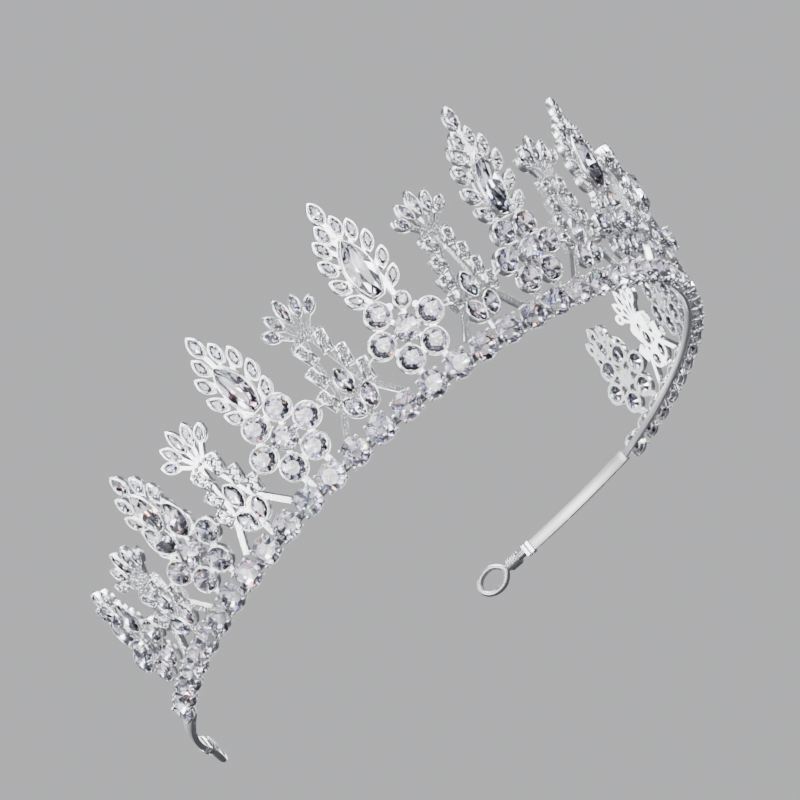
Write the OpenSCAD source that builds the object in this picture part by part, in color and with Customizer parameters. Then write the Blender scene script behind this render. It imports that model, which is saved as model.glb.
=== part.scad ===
// Bridal tiara: a horseshoe row of claw-set stones that carries leaf sprays and stepped fans.
// Units are millimetres. +Z is up, the front faces -Y, and the row of stones lies level on its cups.

/* [Band] */
// Radius of the horseshoe, measured to the middle of the row of stones
band_r = 73.7; // [68:0.1:80]
// Distance of the middle of the horseshoe behind the origin, which is midway between front and back
band_y = 12.23; // [8:0.01:18]
// Spacing of the stones along the row
row_pitch = 6.6; // [6.5:0.05:7]
// Stones on each side of the middle one
row_half = 20; // [20:1:20]
// Height of the middle of the row above the surface that its cups stand on
row_z = 3.03; // [3.03:0.01:3.6]
// Outward lean of the front ornament, in degrees
lean_front = 22; // [10:1:25]
// Outward lean at the two ends of the row, in degrees
lean_end = 7; // [5:1:20]

/* [Row stones] */
// Diameter of a row stone
row_stone_d = 6.0; // [5.6:0.1:6.2]
// Radius of the wire of a claw
claw_r = 0.32; // [0.25:0.01:0.36]
// Radius of the ball at the tip of a claw
claw_ball_r = 0.46; // [0.4:0.01:0.5]
// Depth of a cup behind the widest part of its stone
cup_depth = 1.6; // [1.2:0.1:2]

/* [Rail and arms] */
// Height of the back rail
rail_h = 1.6; // [1.4:0.1:2]
// Thickness of the back rail
rail_t = 1.1; // [0.8:0.1:1.4]
// Bend radius of a plain arm
arm_r = 106; // [90:1:120]
// Length of a plain arm along its bend
arm_len = 38; // [30:1:45]
// Height of a plain arm
arm_h = 2.8; // [2.4:0.1:3.2]
// Thickness of a plain arm
arm_t = 1.3; // [1:0.1:1.6]
// Rise of an arm towards its eye, in degrees
arm_rise = 6; // [0:1:8]
// Length of the neck between a ferrule and its eye
neck_l = 6.64; // [6:0.01:11]
// Radius of a neck
neck_r = 1.0; // [0.8:0.05:1.1]
// Inner radius of the two bends of an end eye
eye_in_r = 2.2; // [1.6:0.1:2.4]
// Length of the straight sides of an end eye
eye_side = 2.4; // [0.5:0.1:3]

/* [Leaf ornaments] */
// Height of the middle leaf ornament above the middle of the row
leaf_h = 44.7; // [40:0.1:48]
// Spacing of the leaf ornaments, counted in row stones
leaf_step = 4.57; // [4.5:0.01:4.6]
// Height of the middle of a flower
flower_h = 11.6; // [11:0.1:12]
// Distance of the petals from the middle of their flower
petal_ring_r = 6.0; // [5.8:0.1:6.2]
// Outer diameter of a petal cup
petal_d = 5.7; // [5.4:0.1:5.8]
// Outer diameter of the one small petal of the flowers beside the middle
small_petal_d = 3.7; // [3.4:0.1:4]
// Diameter of the claw-set stone in the middle of a flower
flower_stone_d = 5.2; // [4.8:0.1:5.4]
// Length of a leaf
leaf_l = 4.9; // [4.6:0.1:5.2]
// Width of a leaf
leaf_w = 2.6; // [2.4:0.1:2.8]
// Size of the leaf at the tip of a spray, as a multiple of the others
tip_scale = 1.16; // [1:0.01:1.2]
// Width of the long middle stone of a spray
navette_w = 5.3; // [5:0.1:5.5]

/* [Fan ornaments] */
// Height of the fans beside the middle above the middle of the row
fan_h = 33.8; // [32:0.1:36]
// Height of the fan of leaves at the top
fan_top = 10.3; // [10:0.1:11]
// Height of the lowest step above the middle of the row
step_base = 8.2; // [8:0.1:9]
// Width of a step
step_w = 2.4; // [2.3:0.1:2.6]
// Lean of a step's upper end away from the middle of its fan, in degrees
step_lean = 14; // [10:1:16]
// Outer width of the drops between the arms of a fan
drop_w = 4.0; // [3.6:0.1:4.2]

/* [Thickness] */
// Thickness of the cast plates
plate_t = 1.3; // [1.1:0.1:1.6]
// Depth of the stone pockets in the plates
pocket_d = 0.6; // [0.5:0.05:0.7]
// Metal rim left round a pocket
rim = 0.38; // [0.3:0.01:0.42]
// Width of the ledge that a stone rests on, round the open back of its pocket
ledge = 0.4; // [0.3:0.05:0.5]
// Gap between a stone and the wall of its pocket
fit_gap = 0.04; // [0.02:0.01:0.05]

/* [Hidden] */
$fn = 48;
metal = [0.86, 0.87, 0.90];
crystal = [0.93, 0.94, 0.98];
pitch_a = row_pitch / band_r * 180 / PI;   // angle between two row stones
row_end_a = (row_half + 0.55) * pitch_a;   // angle where the rail ends
rail_out_r = band_r - 1.5;                 // outer face of the rail
rail_z = row_z - rail_h / 2;               // underside of the rail
cup_r = row_stone_d / 2 + 0.05;            // outer radius of a cup
eye_wire_r = 0.80;                         // radius of the wire of an end eye
binding_r = 0.4;                           // radius of the binding wire
ferrule_l = 2.4;                           // length of the ferrule

// Number of leaf pairs and height of the leaf ornament that is k places from the middle
function leaf_pairs(k) = min(5, 6 - k);
function leaf_height(k) = leaf_h - 1.7 * k - 0.6 * k * k;
// Number of steps and height of the fan that is j places from the middle, j from 1
function fan_steps(j) = j == 1 ? 4 : j == 4 ? 2 : 3;
function fan_height(j) = fan_h - 0.7 * (j - 1) - 0.55 * (j - 1) * (j - 1);
// Outward lean at place i, counted in stones from the middle
function lean_at(i) = lean_front - (lean_front - lean_end) * abs(i) / row_half;
// Places of the ornaments, counted in stones from the middle
function leaf_place(k) = k * leaf_step;
function fan_place(j) = (j - 0.5) * leaf_step;

// Puts a child drawn in x (along the row), y (up) and z (out) at a place on the row
module at_place(i) {
  translate([0, band_y, 0]) rotate([0, 0, i * pitch_a])
    translate([0, -band_r, row_z])
      rotate([90 + lean_at(i), 0, 0])
        children();
}

// ---- Stones and cups -------------------------------------------------------

// Outline of a pointed stone or leaf of length l and width w, centred, along y
module lens(l, w) {
  r = (l * l + w * w) / (4 * w);
  intersection() {
    translate([r - w / 2, 0]) circle(r = r, $fn = 96);
    translate([w / 2 - r, 0]) circle(r = r, $fn = 96);
  }
}

// Round stone of diameter d whose widest part starts at z = 0
module round_stone(d) {
  r = d / 2;
  color(crystal)
    rotate_extrude()
      polygon([[0, -0.42 * r], [r * 0.8, 0], [r, 0], [r, r * 0.13], [r * 0.6, r * 0.42], [0, r * 0.42]]);
}

// Open cup with four claws for a round stone of diameter d
module claw_cup(d, depth) {
  color(metal) {
    translate([0, 0, -depth])
      difference() {
        cylinder(d = d + 0.1, h = depth);
        translate([0, 0, -1]) cylinder(d = d - 1.1, h = depth + 2);
      }
    for (a = [45:90:315])
      rotate([0, 0, a]) {
        translate([d / 2 + 0.27, 0, -depth + 0.1]) cylinder(r = claw_r, h = depth + 0.75, $fn = 24);
        translate([d / 2 + 0.22, 0, 1.05]) sphere(r = claw_ball_r, $fn = 24);
      }
  }
}

// ---- Row -------------------------------------------------------------------

module rail_solid(extra) {
  translate([0, band_y, rail_z - extra])
    rotate([0, 0, -90 - row_end_a])
      rotate_extrude(angle = 2 * row_end_a, $fn = 120)
        translate([rail_out_r - rail_t, 0])
          square([rail_t, rail_h + 2 * extra]);
}

module band_rail() {
  color(metal) rail_solid(0);
}

// Short bar that joins the cups at places i and i + 1
module cup_link(i) {
  color(metal) at_place(i + 0.5) translate([-0.7, -0.6, -1.35]) cube([1.4, 1.2, 1]);
}

// Cups of one side: places first to last, joined by links
module row_settings(first, last) {
  difference() {
    union() {
      for (i = [first:last]) at_place(i) claw_cup(row_stone_d, cup_depth);
      for (i = [first:min(last, row_half - 1)]) cup_link(i);
    }
    rail_solid(1);
    at_place(last + 1) translate([0, 0, -3]) cylinder(r = cup_r, h = 8);
  }
}

module row_stones(first, last) {
  for (i = [first:last]) at_place(i) round_stone(row_stone_d);
}

// Room that the cups near place i need, cut out of an ornament that stands there
module row_room(i) {
  for (n = [-2:2])
    at_place(round(i) + n) translate([0, 0, -3]) cylinder(r = cup_r, h = 8);
}

// ---- Leaf ornaments --------------------------------------------------------

// The spray of leaves above the flower is set on an ellipse round the long stone
spray_low = 18.9;                          // lower edge of the spray
navette_cut = 0.83;                        // share of the navette's lower half that is left
function spray_s(k) = (leaf_height(k) - spray_low) / 22.7;
function spray_mid(k) = spray_low + 7.1 * spray_s(k);
function spray_a(k) = 2.6 + 2.5 * spray_s(k);
function spray_b(k) = 9.4 * spray_s(k);
function first_angle(k) = 18 + 16 * max(0, k - 1.5);
function leaf_angle(k, n) = first_angle(k) + (120 - first_angle(k)) * (n - 1) / (leaf_pairs(k) - 1);
// Turn of leaf n away from the middle line, in degrees
function leaf_flare(n) = 8.5 * n - 2;
function navette_mid(k) = spray_mid(k) - 0.6 * spray_s(k);
function navette_l(k) = 13.3 * pow(spray_s(k), 0.8);
function navette_width(k) = min(navette_w, navette_w * (0.35 + 0.65 * spray_s(k)));

// Calls its child at each leaf of spray k; $size scales that leaf
module each_leaf(k) {
  translate([0, leaf_height(k) - leaf_l * tip_scale / 2]) {
    $size = tip_scale;
    children();
  }
  for (side = [-1, 1], n = [1:leaf_pairs(k)]) {
    t = leaf_angle(k, n);
    $size = 1;
    translate([side * spray_a(k) * sin(t), spray_mid(k) + spray_b(k) * cos(t)])
      rotate(-side * leaf_flare(n)) children();
  }
}

// Calls its child at each petal of the flower at place i; $d is the outer diameter of that petal.
// Beside the middle, the upper petal that faces the middle is small.
module each_petal(i) {
  small = abs(i) > 1 && abs(i) < 1.5 * leaf_step ? (i < 0 ? 30 : 330) : -1;
  for (a = [30:60:330]) {
    $d = a == small ? small_petal_d : petal_d;
    ring = a == small ? petal_ring_r - 0.3 : petal_ring_r;
    translate([ring * sin(a), flower_h + ring * cos(a)]) children();
  }
}

// Outline of the long stone of spray k, grown by edge: a lens with its lower tip cut off
module navette_outline(k, edge) {
  l = navette_l(k);
  translate([0, navette_mid(k)])
    intersection() {
      lens(l + 2.2 * edge, navette_width(k) + 2 * edge);
      translate([-5, -navette_cut * l / 2 - edge]) square([10, l + 5]);
    }
}

module leaf_outline(i, k) {
  each_leaf(k) lens(leaf_l * $size, leaf_w * $size);
  each_petal(i) circle(d = $d);
  navette_outline(k, 0.5);
  // struts from the two upper petals to the foot of the spray, with an open gap between them
  for (side = [-1, 1])
    translate([side * (1.9 + 0.5 * spray_s(k)) - 0.5, flower_h + 4.6]) square([1, spray_mid(k) - flower_h - 7.6]);
  // links inside the flower
  for (a = [0:60:300])
    translate([petal_ring_r * 0.87 * sin(a), flower_h + petal_ring_r * 0.87 * cos(a)]) circle(r = 0.7);
  for (a = [30:60:330])
    translate([0, flower_h]) rotate(-a) translate([-0.5, 2]) square([1, 2.5]);
  translate([0, flower_h]) circle(d = flower_stone_d - 0.6);
  // spine behind the spray, up to the tip leaf
  translate([-0.5, spray_mid(k)]) square([1, leaf_height(k) - leaf_l / 2 - spray_mid(k)]);
  // feet from the lowest petals to the row
  for (side = [-1, 1])
    translate([side * petal_ring_r / 2 - 0.6, 0.8]) square([1.2, 4]);
  // ribs from the navette to the leaves
  for (side = [-1, 1], n = [1:leaf_pairs(k)]) {
    t = leaf_angle(k, n);
    translate([side * spray_a(k) * sin(t) * 0.6, spray_mid(k) + spray_b(k) * cos(t) * 0.86 - 0.8])
      rotate(-side * (leaf_flare(n) + 16)) square([0.9, 4.4], center = true);
  }
}

// Outlines of the pockets, drawn in by inset
module leaf_pockets(i, k, inset) {
  each_leaf(k) lens(leaf_l * $size - 4 * rim - 4 * inset, leaf_w * $size - 2 * rim - 2 * inset);
  each_petal(i) circle(d = $d - 2 * rim - 2 * inset);
}

module leaf_frame(i, k) {
  color(metal)
    difference() {
      at_place(i) translate([0, 0, -plate_t]) linear_extrude(plate_t) leaf_outline(i, k);
      at_place(i) {
        translate([0, 0, -pocket_d]) linear_extrude(pocket_d + 1) leaf_pockets(i, k, 0);
        translate([0, 0, -plate_t - 1]) linear_extrude(plate_t + 2) {
          leaf_pockets(i, k, ledge);
          navette_outline(k, -1.6 * ledge);
        }
      }
      row_room(i);
    }
}

// Leaf stone: a flat slab with a raised middle
module leaf_stone(l, w) {
  color(crystal) {
    linear_extrude(0.5) lens(l, w);
    translate([0, 0, 0.45]) linear_extrude(0.35) lens(l * 0.66, w * 0.62);
  }
}

module leaf_stones(i, k) {
  at_place(i) translate([0, 0, -pocket_d]) {
    each_leaf(k) leaf_stone(leaf_l * $size - 4 * rim - 2 * fit_gap, leaf_w * $size - 2 * rim - 2 * fit_gap);
    each_petal(i) petal_stone($d);
  }
}

// Round stone of a petal: it sits flat on the floor of its pocket
module petal_stone(d) {
  r = d / 2 - rim - fit_gap;
  color(crystal)
    rotate_extrude()
      polygon([[0, 0], [r, 0], [r, 0.55], [r * 0.58, 1.35], [0, 1.35]]);
}

// Claw cup of a flower and its raised stone
module flower_cup(i) {
  at_place(i) translate([0, flower_h, cup_depth]) rotate(45) claw_cup(flower_stone_d, cup_depth);
}

module flower_claw_cups() {
  for (k = [-4:4]) flower_cup(leaf_place(k));
}

module flower_centre_stones() {
  for (k = [-4:4]) at_place(leaf_place(k)) translate([0, flower_h, cup_depth]) round_stone(flower_stone_d);
}

module navette_stone(k) {
  color(crystal) {
    linear_extrude(0.9) navette_outline(k, 0);
    translate([0, 0, 0.85]) linear_extrude(0.7) navette_outline(k, -1.1);
  }
}

module navette_stones() {
  for (k = [-4:4]) at_place(leaf_place(k)) navette_stone(abs(k));
}

// ---- Fan ornaments ---------------------------------------------------------

function step_pitch(j) = (fan_height(j) - fan_top - step_base) / fan_steps(j);
// Distance of the arm from the middle line at step n, from the lowest (0) up
function step_x(j, n) = 2.2 + 2.5 * (fan_steps(j) - 1 - n) / (fan_steps(j) - 1);
leg_top = 8.6;                             // height where the legs leave the arms
collar_r = 6.4;                            // bend radius of the collar under the leaves
function collar_y(j) = fan_height(j) - fan_top + 0.4;

// Calls its child at each leaf of fan j; $l is the length of that leaf
module each_fan_leaf(j) {
  for (n = [-2:2]) {
    a = n * 22;
    $l = 6.6 - 1.1 * abs(n);
    translate([0, collar_y(j) - 0.6])
      rotate(-a) translate([0, 10.5 - 0.75 * abs(n) - $l / 2]) children();
  }
}

module each_step(j) {
  for (side = [-1, 1], n = [0:fan_steps(j) - 1])
    translate([side * step_x(j, n), step_base + step_pitch(j) * (n + 0.5)])
      rotate(-side * step_lean) children();
}

module each_drop() {
  translate([0, 11.5]) {
    $l = 5.4;
    children();
  }
  for (side = [-1, 1])
    translate([side * 1.9, 6.3]) rotate(-side * 20) {
      $l = 4.8;
      children();
    }
}

// Flat bar of width w between two points
module strip(from, to, w) {
  run = to - from;
  translate(from) rotate(atan2(run[1], run[0])) translate([0, -w / 2]) square([norm(run), w]);
}

module fan_outline(j) {
  top = collar_y(j);
  each_fan_leaf(j) lens($l, leaf_w);
  // stems from the collar to the leaves
  for (n = [-2:2])
    translate([0, top - 0.6]) rotate(-n * 22) translate([-0.4, 0]) square([0.8, 5.4]);
  // collar
  intersection() {
    translate([0, top - collar_r + 0.4])
      difference() {
        circle(r = collar_r + 0.7);
        circle(r = collar_r - 0.7);
      }
    translate([-3.7, top - 2]) square([7.4, 4]);
  }
  // stepped arms
  each_step(j) square([step_w, step_pitch(j) * 1.02], center = true);
  for (side = [-1, 1]) {
    // rail inside the arm, from the collar down to the leg
    strip([side * 0.5, top + 0.3], [side * 3.0, leg_top], 0.8);
    // bars that tie the lowest and the highest step to the rail
    strip([side * 2.2, leg_top + 1.4], [side * step_x(j, 0), leg_top + 2.0], 0.9);
    strip([side * 0.8, top - 2.2], [side * 2.4, top - 1.6], 0.9);
    // leg that flares to its landing on the row
    strip([side * 2.9, leg_top + 0.4], [side * 7.3, 2.4], 1.2);
  }
  // drops between the arms
  each_drop() lens($l + 0.9, drop_w);
  translate([-0.8, 7]) square([1.6, 3]);
  translate([-0.6, 1]) square([1.2, 4.5]);
  translate([-3.2, leg_top - 0.4]) square([6.4, 1.0]);
}

module fan_pockets(j, inset) {
  each_fan_leaf(j) lens($l - 4 * rim - 4 * inset, leaf_w - 2 * rim - 2 * inset);
  each_drop() lens($l - 3 * inset, drop_w - 2 * rim - 2 * inset);
}

module fan_frame(i, j) {
  color(metal)
    difference() {
      at_place(i) translate([0, 0, -plate_t]) linear_extrude(plate_t) fan_outline(j);
      at_place(i) {
        translate([0, 0, -pocket_d]) linear_extrude(pocket_d + 1) fan_pockets(j, 0);
        translate([0, 0, -plate_t - 1]) linear_extrude(plate_t + 2) fan_pockets(j, ledge);
      }
      row_room(i);
    }
}

// Small stone that stands on a step
module pave_stone() {
  color(crystal) cylinder(r1 = 0.54, r2 = 0.32, h = 0.45, $fn = 20);
}

module fan_stones(i, j) {
  at_place(i) {
    translate([0, 0, -pocket_d]) {
      each_fan_leaf(j) leaf_stone($l - 4 * rim - 2 * fit_gap, leaf_w - 2 * rim - 2 * fit_gap);
      each_drop() leaf_stone($l - 2 * fit_gap, drop_w - 2 * rim - 2 * fit_gap);
    }
    each_step(j)
      for (x = [-1, 1], y = [-1:1]) translate([x * step_w / 4.2, y * step_pitch(j) / 3.1]) pave_stone();
    // stones along the collar
    for (n = [-2:2])
      translate([0, collar_y(j) - collar_r + 0.4]) rotate(-n * 12.5) translate([0, collar_r]) pave_stone();
  }
}

// ---- Arms and their ends ---------------------------------------------------

// Right-hand side: the start of the arm, with x along it, y inward and z up
module at_arm() {
  translate([0, band_y, 0]) rotate([0, 0, row_end_a])
    translate([0, -rail_out_r + rail_t / 2, row_z - arm_h / 2])
      rotate([0, -arm_rise, 0])
        children();
}

// The same place carried s millimetres along the bend of the arm
module along_arm(s) {
  at_arm() translate([0, arm_r, 0]) rotate([0, 0, s / arm_r * 180 / PI]) translate([0, -arm_r, 0]) children();
}

module arm() {
  color(metal)
    difference() {
      union() {
        at_arm()
          translate([0, arm_r, 0])
            rotate([0, 0, -90])
              rotate_extrude(angle = arm_len / arm_r * 180 / PI, $fn = 180)
                translate([arm_r - arm_t / 2, 0]) square([arm_t, arm_h]);
        along_arm(arm_len - 0.5)
          translate([0, 0, arm_h / 2])
            rotate([0, 90, 0]) cylinder(r = neck_r, h = neck_l);
      }
      rail_solid(1);
    }
}

module ferrule() {
  color(metal)
    for (s = [0, 1.4])
      along_arm(arm_len - ferrule_l + s)
        difference() {
          translate([0, -arm_t / 2 - 0.4, -0.35]) cube([1.0, arm_t + 0.8, arm_h + 0.7]);
          translate([-1, -arm_t / 2, 0]) cube([3, arm_t, arm_h]);
        }
}

// Turns of wire that bind the eye to the neck
module eye_binding() {
  color(metal)
    for (n = [0:3])
      along_arm(arm_len - 0.5)
        translate([neck_l - 3.6 + n * 0.86, 0, arm_h / 2])
          rotate([0, 90, 0])
            rotate_extrude() translate([neck_r + binding_r, 0]) circle(r = binding_r, $fn = 24);
}

// Half of a ring of wire, open towards -X
module eye_bend() {
  rotate([0, 0, -90])
    rotate_extrude(angle = 180)
      translate([eye_in_r + eye_wire_r, 0])
        circle(r = eye_wire_r, $fn = 24);
}

// Long wire eye in the plane of the arm's flat side
module end_eye() {
  mid_r = eye_in_r + eye_wire_r;
  color(metal)
    along_arm(arm_len - 0.5)
      translate([neck_l + mid_r + eye_wire_r, 0, arm_h / 2])
        rotate([90, 0, 0]) {
          translate([eye_side, 0, 0]) eye_bend();
          mirror([1, 0, 0]) eye_bend();
          for (side = [-1, 1])
            translate([0, side * mid_r, 0]) rotate([0, 90, 0]) cylinder(r = eye_wire_r, h = eye_side, $fn = 24);
        }
}

band_rail();
row_settings(-row_half, -1);  // row_settings_left
row_settings(0, row_half);  // row_settings_right
row_stones(-row_half, -1);  // row_stones_left
row_stones(0, row_half);  // row_stones_right
leaf_frame(0, 0);  // leaf_frame_mid
leaf_frame(-leaf_place(1), 1);  // leaf_frame_l1
leaf_frame(-leaf_place(2), 2);  // leaf_frame_l2
leaf_frame(-leaf_place(3), 3);  // leaf_frame_l3
leaf_frame(-leaf_place(4), 4);  // leaf_frame_l4
leaf_frame(leaf_place(1), 1);  // leaf_frame_r1
leaf_frame(leaf_place(2), 2);  // leaf_frame_r2
leaf_frame(leaf_place(3), 3);  // leaf_frame_r3
leaf_frame(leaf_place(4), 4);  // leaf_frame_r4
leaf_stones(0, 0);  // leaf_stones_mid
leaf_stones(-leaf_place(1), 1);  // leaf_stones_l1
leaf_stones(-leaf_place(2), 2);  // leaf_stones_l2
leaf_stones(-leaf_place(3), 3);  // leaf_stones_l3
leaf_stones(-leaf_place(4), 4);  // leaf_stones_l4
leaf_stones(leaf_place(1), 1);  // leaf_stones_r1
leaf_stones(leaf_place(2), 2);  // leaf_stones_r2
leaf_stones(leaf_place(3), 3);  // leaf_stones_r3
leaf_stones(leaf_place(4), 4);  // leaf_stones_r4
fan_frame(-fan_place(1), 1);  // fan_frame_l1
fan_frame(-fan_place(2), 2);  // fan_frame_l2
fan_frame(-fan_place(3), 3);  // fan_frame_l3
fan_frame(-fan_place(4), 4);  // fan_frame_l4
fan_frame(fan_place(1), 1);  // fan_frame_r1
fan_frame(fan_place(2), 2);  // fan_frame_r2
fan_frame(fan_place(3), 3);  // fan_frame_r3
fan_frame(fan_place(4), 4);  // fan_frame_r4
fan_stones(-fan_place(1), 1);  // fan_stones_l1
fan_stones(-fan_place(2), 2);  // fan_stones_l2
fan_stones(-fan_place(3), 3);  // fan_stones_l3
fan_stones(-fan_place(4), 4);  // fan_stones_l4
fan_stones(fan_place(1), 1);  // fan_stones_r1
fan_stones(fan_place(2), 2);  // fan_stones_r2
fan_stones(fan_place(3), 3);  // fan_stones_r3
fan_stones(fan_place(4), 4);  // fan_stones_r4
flower_claw_cups();
flower_centre_stones();
navette_stones();
mirror([1, 0, 0]) arm();  // left_arm
arm();  // right_arm
mirror([1, 0, 0]) ferrule();  // left_ferrule
ferrule();  // right_ferrule
mirror([1, 0, 0]) eye_binding();  // left_eye_binding
eye_binding();  // right_eye_binding
mirror([1, 0, 0]) end_eye();  // left_end_eye
end_eye();  // right_end_eye
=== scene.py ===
"""Looks of the bridal tiara: cut stones, claw cups, rims, cast and polished metal, studio and camera."""
import math

import bpy
import numpy as np
from mathutils import Matrix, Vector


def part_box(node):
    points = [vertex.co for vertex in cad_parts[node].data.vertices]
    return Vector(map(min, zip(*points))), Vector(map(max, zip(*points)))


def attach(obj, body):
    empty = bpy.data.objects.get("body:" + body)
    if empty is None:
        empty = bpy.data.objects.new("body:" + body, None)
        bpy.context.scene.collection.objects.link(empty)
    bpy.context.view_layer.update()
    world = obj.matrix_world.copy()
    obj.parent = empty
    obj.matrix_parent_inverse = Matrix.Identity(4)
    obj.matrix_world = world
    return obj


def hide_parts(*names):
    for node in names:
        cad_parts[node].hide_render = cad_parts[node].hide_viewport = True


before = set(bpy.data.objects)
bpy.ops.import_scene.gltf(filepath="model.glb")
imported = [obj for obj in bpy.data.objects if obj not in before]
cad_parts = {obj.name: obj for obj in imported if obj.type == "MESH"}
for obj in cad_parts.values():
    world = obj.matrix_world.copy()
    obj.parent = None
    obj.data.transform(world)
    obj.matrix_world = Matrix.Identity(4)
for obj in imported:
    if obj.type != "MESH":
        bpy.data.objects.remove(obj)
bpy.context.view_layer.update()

MM = 0.001
UP = np.array([0.0, 0.0, 1.0])
SIDES = ["mid"] + [side + str(k) for side in "lr" for k in (1, 2, 3, 4)]
FANS = SIDES[1:]
ROUND_GIRDLE = 16           # girdle points of every cut stone
SEED = 7


# ---- Reading the frame ------------------------------------------------------

def unit(v):
    """The vector at length one."""
    return v / np.linalg.norm(v)


def mesh_arrays(node):
    """Vertices of a CAD node, merged where they coincide, and its faces as lists of merged vertices."""
    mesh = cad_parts[node].data
    co = np.zeros(len(mesh.vertices) * 3)
    mesh.vertices.foreach_get("co", co)
    keys = np.round(co.reshape(-1, 3) / (0.002 * MM)).astype(np.int64)
    _, first, merged = np.unique(keys, axis=0, return_index=True, return_inverse=True)
    merged = merged.reshape(-1)
    faces = [[int(merged[i]) for i in p.vertices] for p in mesh.polygons]
    return co.reshape(-1, 3)[first], faces


def islands(node):
    """The separate solids of a CAD node, each as its vertices and the area vectors of its triangles."""
    points, faces = mesh_arrays(node)
    parent = list(range(len(points)))

    def root(i):
        """The vertex that stands for i's solid."""
        while parent[i] != i:
            parent[i] = parent[parent[i]]
            i = parent[i]
        return i

    for face in faces:
        for other in face[1:]:
            a, b = root(face[0]), root(other)
            if a != b:
                parent[b] = a
    groups = {}
    for face in faces:
        groups.setdefault(root(face[0]), []).append(face)
    found = []
    for key in sorted(groups, key=lambda k: tuple(points[k])):
        members = groups[key]
        used = sorted({i for face in members for i in face})
        areas = []
        for face in members:
            for n in range(1, len(face) - 1):
                a, b, c = points[face[0]], points[face[n]], points[face[n + 1]]
                areas.append(np.cross(b - a, c - a) / 2)
        found.append((points[used], np.array(areas)))
    return found


RAIL_LOW, RAIL_HIGH = (np.array(corner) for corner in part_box("band_rail"))
BAND_R = (RAIL_HIGH[0] - RAIL_LOW[0]) / 2
BAND_MID = np.array([(RAIL_LOW[0] + RAIL_HIGH[0]) / 2, RAIL_LOW[1] + BAND_R, 0.0])
WIDEST_FACES = 40           # faces tried as the flat side of a solid
SAME_WAY = 0.9999           # cosine above which two faces count as parallel


def face_direction(points, areas):
    """The direction that a flat-topped solid faces: its widest flat side, turned outward from the band."""
    sizes = np.linalg.norm(areas, axis=1)
    directions = areas / np.maximum(sizes, 1e-15)[:, None]
    outward = points.mean(0) - BAND_MID
    outward[2] = 0
    order = np.argsort(-sizes)[:WIDEST_FACES]
    best, best_area = None, -1.0
    for i in order:
        along = directions @ directions[i]
        total = sizes[np.abs(along) > SAME_WAY].sum()
        if total > best_area + 1e-12:
            best, best_area = directions[i], total
    return unit(best if best @ outward > 0 else -best)


ROUND_SHARE = 0.93          # a stone is round if its width is more than this share of its length


class Seat:
    """Where a stone sits: its middle, its right, up and outward directions, and its size."""

    def __init__(self, points, areas):
        """Measures the solid with these vertices and area vectors."""
        self.normal = face_direction(points, areas)
        self.right = unit(np.cross(UP, self.normal))
        self.up = np.cross(self.normal, self.right)
        lows = [(points @ axis).min() for axis in self.axes()]
        highs = [(points @ axis).max() for axis in self.axes()]
        self.mid = sum((a + b) / 2 * axis for a, b, axis in zip(lows, highs, self.axes()))
        flat = np.stack([(points - self.mid) @ self.right, (points - self.mid) @ self.up], 1)
        self.measure(points, flat)

    def axes(self):
        """The right, up and outward directions."""
        return self.right, self.up, self.normal

    def measure(self, points, flat):
        """Length and width in the plane, and the directions along and across the stone."""
        spans = []
        for step in range(180):
            a = math.radians(step)
            across = flat @ np.array([math.cos(a), math.sin(a)])
            spans.append(across.max() - across.min())
        widest = int(np.argmax(spans))
        self.length = spans[widest]
        self.width = spans[(widest + 90) % 180]
        self.is_round = self.width > ROUND_SHARE * self.length
        turn = 0.0 if self.is_round else math.radians(widest) - math.pi / 2
        self.low = (points @ self.normal).min() - self.mid @ self.normal
        turned = math.cos(turn), math.sin(turn)
        self.along = turned[0] * self.up - turned[1] * self.right
        self.across = turned[0] * self.right + turned[1] * self.up
        if self.along @ UP < 0:
            self.along, self.across = -self.along, -self.across

    def place(self, local):
        """Points given as (across, along, outward) in metres from the seat's middle, in the frame."""
        local = np.asarray(local, float)
        flat = self.mid + local[:, :1] * self.across + local[:, 1:2] * self.along
        return flat + local[:, 2:] * self.normal


def seats(node):
    """The seats of all the stones in a CAD node."""
    return [Seat(points, areas) for points, areas in islands(node)]


# ---- Mesh building ----------------------------------------------------------

class Builder:
    """Collects vertices and faces, with a material index, a smooth flag and a random number per face."""

    def __init__(self):
        self.vertices, self.faces, self.material, self.smooth, self.chance = [], [], [], [], []
        self.count = 0
        self.random = np.random.default_rng(SEED)

    def add(self, points, faces, material=0, smooth=True):
        """Adds a shape. material is one index, or one for each face."""
        self.vertices.append(np.asarray(points, float))
        one_chance = self.random.random(len(faces))
        materials = material if isinstance(material, list) else [material] * len(faces)
        for face, index, chance in zip(faces, materials, one_chance):
            self.faces.append([i + self.count for i in face])
            self.material.append(index)
            self.smooth.append(smooth)
            self.chance.append(chance)
        self.count += len(points)

    def make(self, name, materials, slot, *nodes):
        """Makes the piece, which stands in for the CAD nodes given."""
        mesh = bpy.data.meshes.new(name)
        mesh.from_pydata(np.concatenate(self.vertices).tolist(), [], self.faces)
        for material in materials:
            mesh.materials.append(material)
        mesh.polygons.foreach_set("material_index", self.material)
        mesh.polygons.foreach_set("use_smooth", self.smooth)
        chance = mesh.attributes.new("chance", "FLOAT", "FACE")
        chance.data.foreach_set("value", self.chance)
        mesh.update()
        piece = bpy.data.objects.new(name, mesh)
        bpy.context.scene.collection.objects.link(piece)
        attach(piece, "root")
        if nodes:
            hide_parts(*nodes)
        return piece


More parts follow.
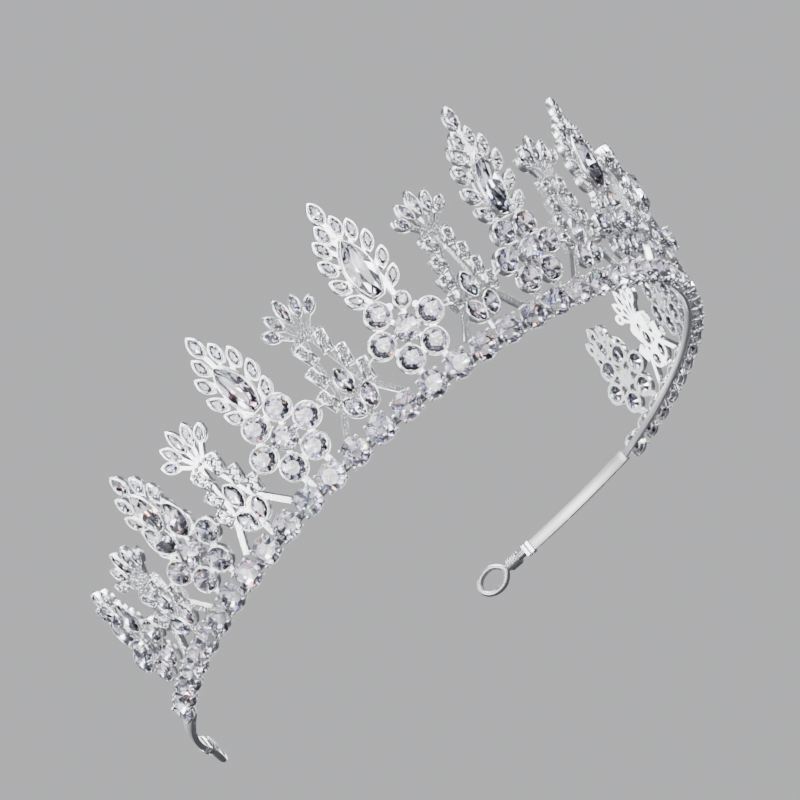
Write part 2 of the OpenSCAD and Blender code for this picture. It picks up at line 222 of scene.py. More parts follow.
def tube(points, radii, sides=8, closed=False, side_axis=None, flatness=1.0):
    """A swept tube, capped flat unless it is closed: flatness scales its section along side_axis."""
    points = np.asarray(points, float)
    count = len(points)
    radii = np.broadcast_to(np.asarray(radii, float), (count,))
    rings = []
    for i in range(count):
        before = points[(i - 1) % count] if closed or i > 0 else points[i]
        after = points[(i + 1) % count] if closed or i < count - 1 else points[i]
        along = unit(after - before)
        axis = side_axis if side_axis is not None else (UP if abs(along[2]) < 0.9 else np.array([1.0, 0, 0]))
        across = unit(np.cross(along, axis))
        other = np.cross(across, along)
        ring = []
        for s in range(sides):
            a = 2 * math.pi * (s + 0.5) / sides
            ring.append(points[i] + radii[i] * (math.cos(a) * across + math.sin(a) * flatness * other))
        rings.append(np.array(ring))
    vertices = np.concatenate(rings)
    faces = []
    for i in range(count if closed else count - 1):
        here, there = i * sides, ((i + 1) % count) * sides
        for s in range(sides):
            t = (s + 1) % sides
            faces.append([here + s, here + t, there + t, there + s])
    if not closed:
        faces.append(list(range(sides))[::-1])
        faces.append([(count - 1) * sides + s for s in range(sides)])
    return vertices, faces


def ball(mid, radius, rows=6, sides=10, axis=UP, squeeze=1.0):
    """A small sphere, squeezed along its axis."""
    axis = unit(axis)
    right = unit(np.cross(axis, UP if abs(axis[2]) < 0.9 else np.array([1.0, 0, 0])))
    up = np.cross(axis, right)
    vertices = [mid + axis * radius * squeeze]
    for row in range(1, rows):
        a = math.pi * row / rows
        for s in range(sides):
            b = 2 * math.pi * s / sides
            ring = math.sin(a) * (math.cos(b) * right + math.sin(b) * up)
            vertices.append(mid + radius * (ring + math.cos(a) * squeeze * axis))
    vertices.append(mid - axis * radius * squeeze)
    last = len(vertices) - 1
    faces = [[0, 1 + s, 1 + (s + 1) % sides] for s in range(sides)]
    for row in range(rows - 2):
        here, there = 1 + row * sides, 1 + (row + 1) * sides
        for s in range(sides):
            t = (s + 1) % sides
            faces.append([here + s, there + s, there + t, here + t])
    low = 1 + (rows - 2) * sides
    faces += [[last, low + (s + 1) % sides, low + s] for s in range(sides)]
    return np.array(vertices), faces


# ---- Cut stones -------------------------------------------------------------

GLASS, FOIL = 0, 1
NAVETTE_CUT = 0.83          # share of a navette's lower half that is left


def outline(kind, length, width, count=ROUND_GIRDLE):
    """Girdle points from the top, clockwise: a round, a lens, or a lens whose lower tip is cut off."""
    points = []
    r = (length * length + width * width) / (4 * width)
    for n in range(count):
        a = 2 * math.pi * n / count
        if kind == "round":
            points.append((length / 2 * math.sin(a), length / 2 * math.cos(a)))
            continue
        y = length / 2 * math.cos(a)
        if kind == "cut":
            y = max(y, -NAVETTE_CUT * length / 2)
        x = math.sqrt(max(r * r - y * y, 0)) - (r - width / 2)
        if kind == "cut" and n == count // 2:
            x = 0
        points.append((math.copysign(x, math.sin(a)) if abs(math.sin(a)) > 1e-9 else 0.0, y))
    return np.array(points)


STAR_RISE = 0.58            # height of the star ring, as a share of the crown


def gem_vertices(points, crown, depth, girdle, table, star, low):
    """Table, star ring, upper and lower edge of the girdle, ring on the back, and the back's point."""
    mid = (points.max(0) + points.min(0)) / 2
    around = points - mid
    even, odd = range(0, len(points), 2), range(1, len(points), 2)
    vertices = [(*(mid + around[n] * np.array(table)), crown + girdle) for n in even]
    vertices += [(*(mid + around[n] * np.array(star)), crown * STAR_RISE + girdle) for n in odd]
    for z in (girdle, 0.0):
        vertices += [(*point, z) for point in points]
    vertices += [(*(mid + around[n] * low), -depth * (1 - low)) for n in odd]
    vertices.append((*mid, -depth))
    return np.array(vertices)


def gem_faces(count):
    """Faces on the vertices above, for count girdle points, and the material of each."""
    half = count // 2
    star, girdle, base, lower, point = half, count, 2 * count, 3 * count, 3 * count + half
    faces, material = [list(range(half))], [GLASS]
    for n in range(half):
        after, before = (n + 1) % half, (n - 1) % half
        main, skip, following = 2 * n, 2 * n + 1, (2 * n + 2) % count
        faces += [
            [n, after, star + n],
            [n, star + n, girdle + main, star + before],
            [star + n, girdle + skip, girdle + main],
            [star + n, girdle + following, girdle + skip],
            [girdle + main, girdle + skip, base + skip, base + main],
            [girdle + skip, girdle + following, base + following, base + skip],
            [point, lower + n, base + main, lower + before],
            [lower + n, base + skip, base + main],
            [lower + n, base + following, base + skip],
        ]
        material += [GLASS] * 6 + [FOIL] * 3
    return faces, material


def outward_faces(vertices, faces):
    """Turns every face of a convex stone outward."""
    middle = vertices.mean(0)
    turned = []
    for face in faces:
        corners = vertices[face]
        normal = np.zeros(3)
        for n in range(1, len(face) - 1):
            normal += np.cross(corners[n] - corners[0], corners[n + 1] - corners[0])
        turned.append(face if normal @ (corners.mean(0) - middle) > 0 else face[::-1])
    return turned


def add_stone(builder, seat, kind, length, width, base, crown, depth, girdle,
              table=(0.56, 0.56), star=(0.8, 0.8), low=0.24):
    """A cut stone, a glass crown over a foiled back. base is its girdle's height above the seat's middle."""
    points = outline(kind, length, width)
    vertices = gem_vertices(points, crown, depth, girdle, table, star, low)
    faces, material = gem_faces(len(points))
    faces = outward_faces(vertices, faces)
    vertices = vertices + np.array([0, 0, base])
    builder.add(seat.place(vertices), faces, material, smooth=False)


# ---- Materials --------------------------------------------------------------

def new_material(name):
    """A material, its node tree and its shader."""
    material = bpy.data.materials.new(name)
    material.use_nodes = True
    tree = material.node_tree
    return material, tree, tree.nodes["Principled BSDF"]


def ramp(tree, stops):
    """A colour ramp in flat steps, from (position, colour) pairs."""
    node = tree.nodes.new("ShaderNodeValToRGB")
    node.color_ramp.interpolation = "CONSTANT"
    elements = node.color_ramp.elements
    while len(elements) > 1:
        elements.remove(elements[-1])
    elements[0].position = stops[0][0]
    elements[0].color = (*stops[0][1], 1)
    for position, colour in stops[1:]:
        elements.new(position).color = (*colour, 1)
    return node


def noise(tree, scale, detail=3.0):
    """Noise fixed to the object, with scale in waves a metre."""
    place = tree.nodes.new("ShaderNodeTexCoord")
    node = tree.nodes.new("ShaderNodeTexNoise")
    node.inputs["Scale"].default_value = scale
    node.inputs["Detail"].default_value = detail
    tree.links.new(place.outputs["Object"], node.inputs["Vector"])
    return node


def spread(tree, source, low, high):
    """Carries a 0 to 1 value to the range low to high."""
    node = tree.nodes.new("ShaderNodeMapRange")
    node.inputs["To Min"].default_value = low
    node.inputs["To Max"].default_value = high
    tree.links.new(source, node.inputs["Value"])
    return node.outputs["Result"]


def metal_material(name, colour, rough, bump, grain, skin_scale, skin_depth):
    """Bright rhodium-like plate: faint clouding in the gloss and a fine uneven skin."""
    material, tree, shader = new_material(name)
    shader.inputs["Metallic"].default_value = 1.0
    clouds = noise(tree, grain)
    tint = tree.nodes.new("ShaderNodeMix")
    tint.data_type = "RGBA"
    tint.inputs[6].default_value = (*colour, 1)
    tint.inputs[7].default_value = (*[c * 0.86 for c in colour], 1)
    tree.links.new(clouds.outputs["Fac"], tint.inputs[0])
    tree.links.new(tint.outputs[2], shader.inputs["Base Color"])
    tree.links.new(spread(tree, clouds.outputs["Fac"], *rough), shader.inputs["Roughness"])
    skin = noise(tree, skin_scale, 2.0)
    lift = tree.nodes.new("ShaderNodeBump")
    lift.inputs["Strength"].default_value = bump
    lift.inputs["Distance"].default_value = skin_depth
    tree.links.new(skin.outputs["Fac"], lift.inputs["Height"])
    tree.links.new(lift.outputs["Normal"], shader.inputs["Normal"])
    return material


def glass_material():
    """Clear crystal glass, with a breath of haze that changes from place to place."""
    material, tree, shader = new_material("crystal_glass")
    shader.inputs["Base Color"].default_value = (0.985, 0.98, 1.0, 1)
    shader.inputs["Transmission Weight"].default_value = 1.0
    shader.inputs["IOR"].default_value = 1.58
    haze = noise(tree, 900)
    tree.links.new(spread(tree, haze.outputs["Fac"], 0.0, 0.03), shader.inputs["Roughness"])
    return material


# Share of the facets at which each colour starts. The first is the foil's own silver. The greys and the near
# black are painted shade and painted reflection: facets made darker as if they mirrored dark surroundings.
# Then comes a pale lilac, and the last four stops are painted coloured glints, orange, pink, green and blue,
# that stand in for the fire of cut crystal.
FOIL_PAINTED_LIGHT_STOPS = [
    (0.00, (0.93, 0.93, 0.97)),
    (0.30, (0.72, 0.71, 0.80)),
    (0.54, (0.50, 0.49, 0.57)),
    (0.72, (0.20, 0.195, 0.24)),
    (0.86, (0.78, 0.68, 0.80)),
    (0.93, (0.92, 0.66, 0.48)),
    (0.95, (0.88, 0.52, 0.58)),
    (0.965, (0.55, 0.80, 0.70)),
    (0.98, (0.50, 0.56, 0.92)),
]


def painted_light_foil_material():
    """Silver foil behind a stone, with painted light. Each facet takes its own painted brightness, from
    silver down to near black as painted shade and painted reflection, and a few take a painted coloured
    glint.
    """
    material, tree, shader = new_material("stone_foil_painted_light")
    shader.inputs["Metallic"].default_value = 1.0
    shader.inputs["Roughness"].default_value = 0.08
    # Painted light: a random number per facet picks its painted brightness or painted coloured glint from
    # the ramp.
    chance = tree.nodes.new("ShaderNodeAttribute")
    chance.attribute_name = "chance"
    painted_light_ramp = ramp(tree, FOIL_PAINTED_LIGHT_STOPS)
    tree.links.new(chance.outputs["Fac"], painted_light_ramp.inputs["Fac"])
    tree.links.new(painted_light_ramp.outputs["Color"], shader.inputs["Base Color"])
    return material


CAST = metal_material("cast_plate", colour=(0.80, 0.805, 0.83), rough=(0.18, 0.32), bump=0.60,
                      grain=420, skin_scale=2400, skin_depth=0.10 * MM)
BRIGHT = metal_material("bright_wire", colour=(0.95, 0.955, 0.97), rough=(0.14, 0.26), bump=0.12,
                        grain=300, skin_scale=1200, skin_depth=0.05 * MM)
PLAIN = metal_material("polished_band", colour=(0.50, 0.50, 0.515), rough=(0.32, 0.44), bump=0.15,
                       grain=120, skin_scale=480, skin_depth=0.05 * MM)
GLASS_MATERIAL = glass_material()
PAINTED_LIGHT_FOIL = painted_light_foil_material()
STONE_MATERIALS = [GLASS_MATERIAL, PAINTED_LIGHT_FOIL]


# ---- Row --------------------------------------------------------------------

# The next three are shares of a stone's radius
BRILLIANT = dict(crown=0.36, depth=0.78, girdle=0.06)
ROW_DEPTH = 0.70            # a shallower stone shows more of its dark facets from the side
GIRDLE_RISE = 0.42          # girdle of a claw-set stone above the lowest point of its seat
CUP_DEPTH = 1.6 * MM
DIAGONALS = (45, 135, 225, 315)     # degrees from the top of a stone
CROSS = (0, 90, 180, 270)


def brilliant(radius, **change):
    """Sizes of a brilliant cut for a stone of this radius, with some shares changed."""
    shape = dict(BRILLIANT, **change)
    return {key: value * radius for key, value in shape.items()}


def add_claw_cup(builder, seat, radius, claws):
    """Crown-shaped cup: two rings, splayed claws that grip the girdle, and a bead on each tip."""
    def ring(r, z, wire, flatness):
        """A ring of wire round the cup."""
        turn = [2 * math.pi * n / 32 for n in range(32)]
        path = seat.place([(r * math.sin(a), r * math.cos(a), z) for a in turn])
        builder.add(*tube(path, wire, 8, True, seat.normal, flatness))

    ring(radius * 0.70, -CUP_DEPTH + 0.30 * MM, 0.24 * MM, 1.1)
    ring(radius * 0.92, -0.30 * MM, 0.17 * MM, 1.3)
    for angle in claws:
        a = math.radians(angle)
        out = np.array([math.sin(a), math.cos(a)])
        # distance from the stone's axis, height, and radius of the wire in millimetres
        profile = [
            (radius * 0.68, -CUP_DEPTH + 0.15 * MM, 0.28), (radius * 0.82, -CUP_DEPTH * 0.55, 0.27),
            (radius + 0.14 * MM, -0.35 * MM, 0.27), (radius + 0.26 * MM, 0.25 * MM, 0.26),
            (radius + 0.16 * MM, 0.65 * MM, 0.24), (radius * 0.97, 0.85 * MM, 0.20),
        ]
        path = seat.place([(*(out * r), z) for r, z, _ in profile])
        builder.add(*tube(path, [w * MM for _, _, w in profile], 8))
        tip = seat.place([(*(out * (radius + 0.06 * MM)), 0.82 * MM)])[0]
        builder.add(*ball(tip, 0.38 * MM, axis=seat.normal, squeeze=0.85))


def make_row(side):
    """One side's stones, and the cups that hold them."""
    places = seats("row_stones_" + side)
    stones, cups = Builder(), Builder()
    for seat in places:
        radius = seat.length / 2
        base = seat.low + GIRDLE_RISE * radius
        seat.mid = seat.mid + base * seat.normal
        shape = brilliant(radius, depth=ROW_DEPTH)
        add_stone(stones, seat, "round", seat.length, seat.length, 0.0, **shape)
        add_claw_cup(cups, seat, radius, DIAGONALS)
    order = sorted(places, key=lambda s: math.atan2(*(s.mid - BAND_MID)[:2]) % (2 * math.pi))
    for one, two in zip(order, order[1:]):
        add_link(cups, one, two)
    stones.make("row_brilliants_" + side, STONE_MATERIALS, "row_crystal", "row_stones_" + side)
    cups.make("row_cups_" + side, [BRIGHT], "cast_metal", "row_settings_" + side)


LINK_DEPTH = 0.85           # millimetres behind the girdles of the stones
LINK_HALF = 0.9             # half its length, in millimetres


def add_link(builder, one, two):
    """The short bar that joins two neighbouring cups."""
    normal = unit(one.normal + two.normal)
    middle = (one.mid + two.mid) / 2 - normal * LINK_DEPTH * MM
    along = unit(two.mid - one.mid)
    path = [middle - along * LINK_HALF * MM, middle, middle + along * LINK_HALF * MM]
    builder.add(*tube(path, [0.62 * MM, 0.5 * MM, 0.62 * MM], 8))


# ---- Leaf ornaments ---------------------------------------------------------

RIM_WIRE = 0.20 * MM
FILL = 1.07                 # a set stone, as a multiple of its CAD seat: it laps onto the rim
LEAF_CUT = dict(crown=0.55 * MM, depth=0.75 * MM, girdle=0.08 * MM, table=(0.5, 0.62))
LEAF_GRIPS = (52, 128, 232, 308)
PETAL_CUT = dict(crown=0.34, depth=0.40)        # shares of the stone's radius


def add_rim(builder, seat, kind, length, width, height, wire=RIM_WIRE, count=28):
    """A rounded rim that follows a stone's outline."""
    edge = outline(kind, length, width, count)
    path = seat.place([(x, y, height) for x, y in edge])
    builder.add(*tube(path, wire, 7, True, seat.normal, 1.25))


def add_grips(builder, seat, kind, length, width, height, angles, size):
    """Small beads that hold a stone, at angles round its outline."""
    for angle in angles:
        a = math.radians(angle)
        y = length / 2 * math.cos(a)
        if kind == "round":
            x = length / 2 * math.sin(a)
        else:
            r = (length * length + width * width) / (4 * width)
            x = math.copysign(math.sqrt(r * r - y * y) - (r - width / 2), math.sin(a))
        spot = seat.place([(x, y, height)])[0]
        builder.add(*ball(spot, size, 5, 8, seat.normal, 0.8))


def add_set_leaf(stones, metal, seat):
    """A pointed stone in its rim."""
    length, width, floor = seat.length, seat.width, seat.low
    add_stone(stones, seat, "lens", FILL * length, FILL * width, floor + 0.45 * MM, **LEAF_CUT)
    add_rim(metal, seat, "lens", length + 0.42 * MM, width + 0.30 * MM, floor + 0.58 * MM)
    add_grips(metal, seat, "lens", length, width, floor + 0.86 * MM, LEAF_GRIPS, 0.21 * MM)


def add_set_round(stones, metal, seat):
    """A round stone in its rim."""
    size, floor = seat.length, seat.low
    shape = brilliant(size / 2, **PETAL_CUT)
    outer = size + 0.34 * MM
    add_stone(stones, seat, "round", FILL * size, FILL * size, floor + 0.52 * MM, **shape)
    add_rim(metal, seat, "round", outer, outer, floor + 0.60 * MM, count=32)
    add_grips(metal, seat, "round", size, size, floor + 0.92 * MM, DIAGONALS, 0.25 * MM)


def make_leaf_ornament(side):
    """Petals and leaves of one spray, each in its rim."""
    stones, metal = Builder(), Builder()
    for seat in seats("leaf_stones_" + side):
        if seat.is_round:
            add_set_round(stones, metal, seat)
        else:
            add_set_leaf(stones, metal, seat)
    stones.make("leaf_gems_" + side, STONE_MATERIALS, "ornament_crystal", "leaf_stones_" + side)
    metal.make("leaf_rims_" + side, [BRIGHT], "cast_metal")


NAVETTE_RIM = 0.30 * MM
NAVETTE_GRIPS = (35, 75, 105, 140, 220, 255, 285, 325)


def make_navettes():
    """The long stone of every spray, in a rim with beads along it."""
    stones, metal = Builder(), Builder()
    for seat in seats("navette_stones"):
        floor = seat.low
        half = seat.width / 2
        full = seat.length / (1 + NAVETTE_CUT) * 2
        seat.mid = seat.mid - seat.along * (full - seat.length) / 2
        add_stone(stones, seat, "cut", full, seat.width, floor + 0.35 * MM,
                  crown=0.58 * half, depth=0.5 * half, girdle=0.1 * half,
                  table=(0.36, 0.7), star=(0.62, 0.82), low=0.3)
        add_rim(metal, seat, "cut", full + 0.5 * MM, seat.width + 0.34 * MM, floor + 0.35 * MM,
                NAVETTE_RIM, 40)
        add_grips(metal, seat, "lens", full, seat.width, floor + 0.75 * MM, NAVETTE_GRIPS, 0.26 * MM)
    stones.make("navette_gems", STONE_MATERIALS, "ornament_crystal", "navette_stones")
    metal.make("navette_rims", [BRIGHT], "cast_metal")


def make_flower_centres():
    """The raised stone in the middle of every flower, in its claw cup."""
    stones, cups = Builder(), Builder()
    for seat in seats("flower_centre_stones"):
        radius = seat.length / 2
        seat.mid = seat.mid + (seat.low + GIRDLE_RISE * radius) * seat.normal
        add_stone(stones, seat, "round", seat.length, seat.length, 0.0, **brilliant(radius))
        add_claw_cup(cups, seat, radius, CROSS)
    stones.make("flower_centre_gems", STONE_MATERIALS, "ornament_crystal", "flower_centre_stones")
    cups.make("flower_cups", [BRIGHT], "cast_metal", "flower_claw_cups")


# ---- Fan ornaments ----------------------------------------------------------

PAVE_LIMIT = 1.6 * MM       # a shorter stone than this stands on a step
PAVE_SHARE = 0.80           # leaves the metal of the step showing round each small stone
PAVE_CUT = dict(crown=0.5, depth=0.3)           # shares of the stone's radius


def make_fan_ornament(side):
    """Leaves, drops and the small stones on the steps of one fan."""
    stones, metal = Builder(), Builder()
    pave = []
    for seat in seats("fan_stones_" + side):
        if seat.length > PAVE_LIMIT:
            add_set_leaf(stones, metal, seat)
        else:
            pave.append(seat)
    for seat in pave:
        size = PAVE_SHARE * seat.length
        shape = brilliant(size / 2, **PAVE_CUT)
        add_stone(stones, seat, "round", size, size, seat.low + 0.12 * MM, **shape)
    add_step_beads(metal, pave)
    add_block_rims(metal, pave)
    stones.make("fan_gems_" + side, STONE_MATERIALS, "ornament_crystal", "fan_stones_" + side)
    metal.make("fan_rims_" + side, [BRIGHT], "cast_metal")


GRAIN_R = 0.17 * MM
DIAGONAL = (1.35 * MM, 1.80 * MM)       # least and most between two stones across the grid


def add_step_beads(builder, pave):
    """Grains of metal inside the grid of small stones, one where four of them meet."""
    kept = []
    for n, one in enumerate(pave):
        for other in pave[n + 1:]:
            if not DIAGONAL[0] < np.linalg.norm(other.mid - one.mid) < DIAGONAL[1]:
                continue
            spot = (one.mid + other.mid) / 2 + (one.low + 0.14 * MM) * one.normal
            if all(np.linalg.norm(spot - old) > 1.5 * GRAIN_R for old in kept):
                kept.append(spot)
                builder.add(*ball(spot, GRAIN_R, 5, 8, one.normal, 0.85))


COLLAR_STONES = 5           # small stones on the collar, above the steps
BLOCK_STONES = 6            # small stones on one step, in two columns of three
BLOCK_WIRE = 0.25 * MM
BLOCK_WIDTH = 2.1           # width of a step, in gaps between its two columns
BLOCK_HEIGHT = 3.1          # height of a step, in gaps between its rows


def step_blocks(pave):
    """The small stones of each step, from the lowest step up, on one side and then on the other."""
    up = pave[0].up
    rising = sorted(pave, key=lambda seat: seat.mid @ up)[:-COLLAR_STONES]
    centre = sum(seat.mid for seat in rising) / len(rising)
    for side in (-1, 1):
        column = [seat for seat in rising if side * ((seat.mid - centre) @ seat.right) > 0]
        for n in range(0, len(column) - BLOCK_STONES + 1, BLOCK_STONES):
            yield column[n:n + BLOCK_STONES]


def add_block_rims(builder, pave):
    """A thin bright rim round each step."""
    for block in step_blocks(pave):
        spots = [seat.mid for seat in block]
        middle = sum(spots) / BLOCK_STONES
        rise = (spots[4] + spots[5] - spots[0] - spots[1]) / 4
        up = unit(rise)
        right = np.cross(up, block[0].normal)
        gap = abs((spots[1] - spots[0]) @ right)
        x = BLOCK_WIDTH * gap / 2 - BLOCK_WIRE
        y = BLOCK_HEIGHT * np.linalg.norm(rise) / 2 - BLOCK_WIRE
        lift = (block[0].low + 0.22 * MM) * block[0].normal
        turns = ((-1, -1), (-1, 1), (1, 1), (1, -1))
        corners = [middle + lift + i * x * right + j * y * up for i, j in turns]
        for here, there in zip(corners, corners[1:] + corners[:1]):
            builder.add(*tube([here, there], BLOCK_WIRE, 8))


# ---- Links between the ornaments --------------------------------------------

LINK_REACH = 6.0 * MM       # a petal further from a step than this isn't joined to it
LINK_BEAD = 0.34 * MM
LOW_STEP = 1.5 * MM         # height over which the lowest small stones of a fan lie


def lowest_pair(pave):
    """The outermost of the low stones on each side of a fan."""
    floor = min(seat.mid[2] for seat in pave)
    low = [seat for seat in pave if seat.mid[2] < floor + LOW_STEP]
    centre = sum(seat.mid for seat in pave) / len(pave)
    sides = [(seat.mid - centre) @ seat.right for seat in low]
    return low[int(np.argmin(sides))], low[int(np.argmax(sides))]


def add_link_beads(builder, step, petal):
    """Grains of solder in a row from the rim of a petal to a step."""
    gap = step.mid - petal.mid
    start = petal.mid + unit(gap) * (petal.length / 2 + 0.35 * MM)
    stretch = step.mid - start
    count = max(1, int(round(np.linalg.norm(stretch) / (1.5 * LINK_BEAD))))
    for n in range(count):
        spot = start + stretch * (n + 0.5) / count
        normal = unit(step.normal + petal.normal)
        builder.add(*ball(spot, LINK_BEAD, 6, 10, normal))


def make_ornament_links():
    """The flowers and the fans beside them are soldered together at the height of the lowest steps."""
    petals = [seat for side in SIDES for seat in seats("leaf_stones_" + side) if seat.is_round]
    links = Builder()
    for side in FANS:
        pave = [seat for seat in seats("fan_stones_" + side) if seat.length <= PAVE_LIMIT]
        for step in lowest_pair(pave):
            nearest = min(petals, key=lambda petal: np.linalg.norm(petal.mid - step.mid))
            if np.linalg.norm(nearest.mid - step.mid) < LINK_REACH:
                add_link_beads(links, step, nearest)
    links.make("ornament_links", [BRIGHT], "cast_metal")


# ---- Band, arms and their ends ----------------------------------------------

def bevel_node(node, width, material):
    """Softens the edges of a CAD node and gives it its material."""
    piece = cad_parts[node]
    piece.data.materials.clear()
    piece.data.materials.append(material)
    weld = piece.modifiers.new("join", "WELD")
    weld.merge_threshold = 0.001 * MM
    round_edges = piece.modifiers.new("round_edges", "BEVEL")
    round_edges.width = width
    round_edges.segments = 2
    round_edges.limit_method = "ANGLE"
    round_edges.angle_limit = math.radians(35)
    round_edges.use_clamp_overlap = True


def make_metalwork():
    """Finishes of the castings, the rail, the arms and the ferrules, and the ends of the arms."""
    for side in SIDES:
        bevel_node("leaf_frame_" + side, 0.10 * MM, CAST)
    for side in FANS:
        bevel_node("fan_frame_" + side, 0.10 * MM, CAST)
    bevel_node("band_rail", 0.25 * MM, PLAIN)
    for side in ("left", "right"):
        bevel_node(side + "_arm", 0.32 * MM, PLAIN)
        bevel_node(side + "_ferrule", 0.18 * MM, BRIGHT)
        make_arm_end(side)


EYE_WIRE = 0.80 * MM        # the wire of an end eye, as in the CAD
EYE_PULL = 0.30             # how far the eye narrows towards its binding
BINDING_REACH = 1.36 * MM   # from the middle of the neck to the middle of the binding wire
BINDING_WIRE = 0.44 * MM
BINDING_TURNS = 5
SOLDER_R = 1.4 * MM


def eye_path(eye, along, across, long_reach, wide_reach, count=48):
    """A long loop that narrows towards the arm, like wire bent round and pinched together."""
    path = []
    for n in range(count):
        a = 2 * math.pi * n / count
        pinch = max(0.0, -math.cos(a)) ** 3
        narrow = 1 - EYE_PULL * pinch
        path.append(eye + long_reach * math.cos(a) * along + wide_reach * math.sin(a) * narrow * across)
    return path


def binding_path(first, last, across, third, per_turn=20):
    """A helix of wire round the neck."""
    steps = BINDING_TURNS * per_turn
    path = []
    for n in range(steps + 1):
        a = 2 * math.pi * n / per_turn
        middle = last + (first - last) * n / steps
        path.append(middle + BINDING_REACH * (math.cos(a) * across + math.sin(a) * third))
    return path


def make_arm_end(side):
    """The wire binding and the eye at the end of an arm, with the solder between them."""
    (ring,) = islands(side + "_end_eye")
    eye = (ring[0].max(0) + ring[0].min(0)) / 2
    bound = np.array([points.mean(0) for points, _ in islands(side + "_eye_binding")])
    bound = bound[np.argsort(np.linalg.norm(bound - eye, axis=1))]
    along = unit(bound[0] - bound[-1])
    across = unit(UP - (UP @ along) * along)
    third = np.cross(along, across)
    long_reach, wide_reach = (np.ptp((ring[0] - eye) @ axis) / 2 - EYE_WIRE for axis in (along, across))
    loop = Builder()
    loop.add(*tube(eye_path(eye, along, across, long_reach, wide_reach), EYE_WIRE, 14, True, third))
    loop.make(side + "_wire_eye", [PLAIN], "plain_band_metal", side + "_end_eye")
    binding = Builder()
    spread_out = along * 0.35 * MM
    path = binding_path(bound[0] + spread_out, bound[-1] - spread_out, across, third)
    binding.add(*tube(path, BINDING_WIRE, 8, False, along))
    binding.add(*ball(bound[0] + along * 0.5 * MM, SOLDER_R, 10, 16, along, 0.7))
    binding.make(side + "_wire_binding", [PLAIN], "plain_band_metal", side + "_eye_binding")


# ---- Studio -----------------------------------------------------------------

LENS_MM = 104.37
SENSOR_MM = 36.0
VIEW_AZIMUTH, VIEW_ELEVATION, VIEW_ROLL = -39.30, -20.38, 43.48
VIEW_DISTANCE = 505.97 * MM
VIEW_TARGET = np.array([-0.88, -5.76, 26.50]) * MM
FLOOR_Z = -0.19


def rotation_from(right, up, back):
    """The rotation that carries X, Y and Z to these directions."""
    return Matrix([[right[i], up[i], back[i]] for i in range(3)]).to_4x4()


def look_axes(azimuth, elevation, roll=0.0):
    """Right, up and backward directions of a camera that looks from an azimuth and an elevation."""
    a, e, r = (math.radians(x) for x in (azimuth, elevation, roll))
    back = np.array([math.sin(a) * math.cos(e), -math.cos(a) * math.cos(e), math.sin(e)])
    right = unit(np.cross(UP, back))
    up = np.cross(back, right)
    return math.cos(r) * right - math.sin(r) * up, math.sin(r) * right + math.cos(r) * up, back


def make_camera():
    """The camera of the main view."""
    data = bpy.data.cameras.new("camera")
    data.lens = LENS_MM
    data.sensor_width = SENSOR_MM
    data.clip_start = 0.01
    camera = bpy.data.objects.new("camera", data)
    right, up, back = look_axes(VIEW_AZIMUTH, VIEW_ELEVATION, VIEW_ROLL)
    camera.matrix_world = rotation_from(right, up, back)
    camera.location = VIEW_TARGET + back * VIEW_DISTANCE
    bpy.context.scene.collection.objects.link(camera)
    bpy.context.scene.camera = camera


def add_light(name, azimuth, elevation, distance, size, watts, colour=(1, 1, 1)):
    """A soft square light that faces the tiara from a direction."""
    data = bpy.data.lights.new(name, "AREA")
    data.size = size
    data.energy = watts
    data.color = colour
    light = bpy.data.objects.new(name, data)
    right, up, back = look_axes(azimuth, elevation)
    light.matrix_world = rotation_from(right, up, back)
    light.location = VIEW_TARGET + back * distance
    light.visible_camera = False
    bpy.context.scene.collection.objects.link(light)


def flat_material(name, colour, glow=0.0):
    """Matt paint with a faint unevenness, which can glow a little."""
    material, tree, shader = new_material(name)
    clouds = noise(tree, 1.5)
    mix = tree.nodes.new("ShaderNodeMix")
    mix.data_type = "RGBA"
    mix.inputs[6].default_value = (*colour, 1)
    mix.inputs[7].default_value = (*[c * 0.97 for c in colour], 1)
    tree.links.new(clouds.outputs["Fac"], mix.inputs[0])
    tree.links.new(mix.outputs[2], shader.inputs["Base Color"])
    shader.inputs["Roughness"].default_value = 0.7
    if glow:
        shader.inputs["Emission Color"].default_value = (*colour, 1)
        shader.inputs["Emission Strength"].default_value = glow
    return material


LIGHT_DISTANCE = 0.9
SPARKS = 16                 # small lights that make the stones glitter
SPARK_SIZE, SPARK_WATTS = 0.03, 0.55
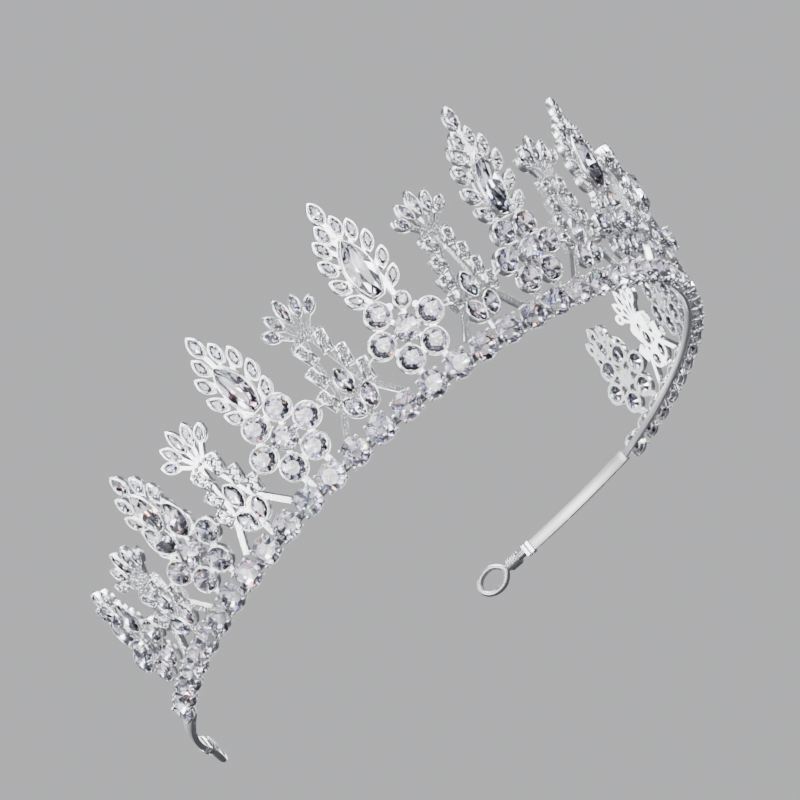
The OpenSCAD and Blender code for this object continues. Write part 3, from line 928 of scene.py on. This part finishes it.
# name, azimuth and elevation it shines from, side in metres, watts
SOFT_LIGHTS = [
    ("key", -15, 52, 0.50, 16), ("left", -88, 8, 0.42, 9), ("beside_camera", -52, -6, 0.20, 2.6),
    ("front_low", -8, -9, 0.24, 3.4), ("right", 38, 6, 0.30, 6), ("back_left", 200, 30, 0.45, 4.5),
    ("back_right", 140, 12, 0.40, 4.5), ("top", 60, 78, 0.40, 8),
]


def make_backdrop():
    """A pale floor below, and a pale dome that only the camera sees."""
    bpy.ops.mesh.primitive_circle_add(vertices=96, radius=2.5, fill_type="NGON", location=(0, 0, FLOOR_Z))
    floor = bpy.context.object
    floor.name = "floor"
    floor.data.materials.append(flat_material("floor_paint", (0.46, 0.46, 0.47)))
    bpy.ops.mesh.primitive_uv_sphere_add(segments=64, ring_count=32, radius=4.0)
    dome = bpy.context.object
    dome.name = "backdrop"
    dome.data.materials.append(flat_material("backdrop_paint", (0.60, 0.60, 0.61), 0.62))
    for ray in ("diffuse", "glossy", "transmission", "shadow"):
        setattr(dome, "visible_" + ray, False)
    floor.visible_glossy = False


def make_world():
    """Faint light from all round."""
    world = bpy.data.worlds.new("studio")
    bpy.context.scene.world = world
    world.use_nodes = True
    background = world.node_tree.nodes["Background"]
    background.inputs["Color"].default_value = (0.50, 0.52, 0.56, 1)
    background.inputs["Strength"].default_value = 0.30


def make_lights():
    """The soft lights, and the sparks in an arc round the front."""
    for name, azimuth, elevation, size, watts in SOFT_LIGHTS:
        add_light(name, azimuth, elevation, LIGHT_DISTANCE, size, watts)
    sparks = np.random.default_rng(SEED)
    for n in range(SPARKS):
        azimuth = -160 + 320 * n / (SPARKS - 1) + sparks.uniform(-8, 8)
        elevation = sparks.uniform(-10, 60)
        add_light(f"spark_{n}", azimuth, elevation, LIGHT_DISTANCE, SPARK_SIZE, SPARK_WATTS)


make_camera()
make_backdrop()
make_world()
make_lights()
make_metalwork()
for row_side in ("left", "right"):
    make_row(row_side)
for ornament in SIDES:
    make_leaf_ornament(ornament)
for ornament in FANS:
    make_fan_ornament(ornament)
make_navettes()
make_flower_centres()
make_ornament_links()
